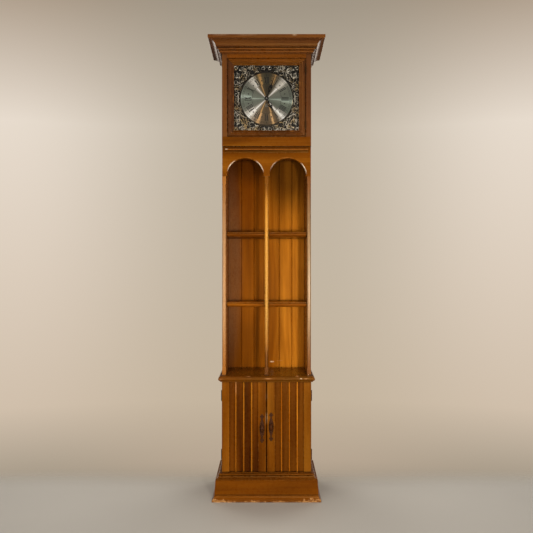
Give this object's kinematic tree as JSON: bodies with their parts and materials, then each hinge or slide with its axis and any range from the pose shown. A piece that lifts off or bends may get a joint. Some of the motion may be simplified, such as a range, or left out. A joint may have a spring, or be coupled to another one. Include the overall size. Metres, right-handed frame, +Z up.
{
  "type": "grandfather clock",
  "caption": "Tall standing clock with a glazed hood, a twin-arched open bookshelf trunk and a two-door cabinet on a flared base.",
  "frame": {"origin": "middle of the footprint, on the floor", "axes": "+Z up, +X to the right seen from the front, front faces -Y"},
  "size_m": [0.484, 0.3, 1.925],
  "materials": {
    "fruitwood": "semi-gloss lacquered fruitwood",
    "fruitwood_dark": "matt stained wood",
    "antique_cast": "cast scrollwork, antiqued",
    "spun_silver": "circular spun",
    "glass": "clear",
    "brass": "satin",
    "steel": "satin",
    "antique_iron": "dark antique"
  },
  "bodies": {
    "case": {"plinth_front": "fruitwood", "plinth_left": "fruitwood", "plinth_right": "fruitwood", "base_moulding_front": "fruitwood", "base_moulding_left": "fruitwood", "base_moulding_right": "fruitwood", "cabinet_floor": "fruitwood", "waist_board": "fruitwood", "back_panel": "fruitwood", "shelf_lower": "fruitwood", "shelf_upper": "fruitwood", "post_left": "fruitwood", "post_right": "fruitwood", "centre_post": "fruitwood", "arch_spandrel": "fruitwood", "neck_bead": "fruitwood", "hood_face_frame": "fruitwood", "cabinet_side_left": "fruitwood", "cabinet_side_right": "fruitwood", "trunk_side_left": "fruitwood", "trunk_side_right": "fruitwood", "cornice_front": "fruitwood", "cornice_left": "fruitwood", "cornice_right": "fruitwood", "hood_floor": "fruitwood_dark", "hood_top": "fruitwood_dark", "rear_cover": "fruitwood_dark", "dial_board": "fruitwood_dark", "dial_plate": "antique_cast", "dial_disc": "spun_silver", "movement_front_plate": "brass", "movement_back_plate": "brass", "movement_pillars": "brass", "dial_hinge_leaves": "brass", "rear_cover_screws": "steel", "escapement_housing": "steel", "door_catch": "steel", "cabinet_hinge_leaves": "antique_iron"},
    "dial_door": {"dial_door_frame": "fruitwood", "dial_glass": "glass", "dial_door_knuckles": "brass"},
    "left_door": {"door_left": "fruitwood", "door_ribs_left": "fruitwood", "pull_left": "antique_iron", "door_hinges_left": "antique_iron"},
    "right_door": {"door_right": "fruitwood", "door_ribs_right": "fruitwood", "pull_right": "antique_iron", "door_hinges_right": "antique_iron"},
    "minute_works": {"minute_hand": "antique_iron", "hand_nut": "brass", "centre_arbor": "steel", "cannon_pinion": "steel"},
    "hour_works": {"hour_hand": "antique_iron", "hour_wheel": "brass"},
    "minute_wheel": {"minute_wheel": "brass"},
    "barrel": {"mainspring_barrel": "brass"},
    "winding": {"winding_arbor": "steel"},
    "third_wheel": {"third_wheel": "brass"},
    "escapement_drive": {"escapement_pinion": "steel"}
  },
  "joints": [
    {"name": "left_door_hinge", "type": "hinge", "parent": "case", "child": "left_door", "pos_m": [-0.1887, -0.085, 0.3], "axis": [0, 0, -1], "range_deg": [0, 170]},
    {"name": "right_door_hinge", "type": "hinge", "parent": "case", "child": "right_door", "pos_m": [0.1887, -0.085, 0.3], "axis": [0, 0, 1], "range_deg": [0, 170]},
    {"name": "dial_door_hinge", "type": "hinge", "parent": "case", "child": "dial_door", "pos_m": [0.1645, -0.0966, 1.679], "axis": [0, 0, 1], "range_deg": [0, 105]},
    {"name": "minute_hand_turn", "type": "hinge", "parent": "case", "child": "minute_works", "pos_m": [0, 0, 1.679], "axis": [0, 1, 0], "continuous": true},
    {"name": "hour_hand_turn", "type": "hinge", "parent": "case", "child": "hour_works", "pos_m": [0, 0, 1.679], "axis": [0, 1, 0], "continuous": true},
    {"name": "minute_wheel_turn", "type": "hinge", "parent": "case", "child": "minute_wheel", "pos_m": [-0.018, 0, 1.679], "axis": [0, 1, 0], "continuous": true},
    {"name": "barrel_turn", "type": "hinge", "parent": "case", "child": "barrel", "pos_m": [0, 0, 1.65], "axis": [0, 1, 0], "continuous": true},
    {"name": "winding_turn", "type": "hinge", "parent": "case", "child": "winding", "pos_m": [0, 0, 1.65], "axis": [0, 1, 0], "continuous": true},
    {"name": "third_wheel_turn", "type": "hinge", "parent": "case", "child": "third_wheel", "pos_m": [0.01819, 0, 1.6895], "axis": [0, 1, 0], "continuous": true},
    {"name": "escapement_drive_turn", "type": "hinge", "parent": "case", "child": "escapement_drive", "pos_m": [0.00769, 0, 1.70769], "axis": [0, 1, 0], "continuous": true}
  ],
  "couplings": [
    {"joint": "hour_hand_turn", "follows": "minute_hand_turn", "ratio": 0.083333},
    {"joint": "minute_wheel_turn", "follows": "minute_hand_turn", "ratio": -0.33333},
    {"joint": "barrel_turn", "follows": "minute_hand_turn", "ratio": -0.14286},
    {"joint": "third_wheel_turn", "follows": "minute_hand_turn", "ratio": -6},
    {"joint": "escapement_drive_turn", "follows": "minute_hand_turn", "ratio": 36}
  ]
}
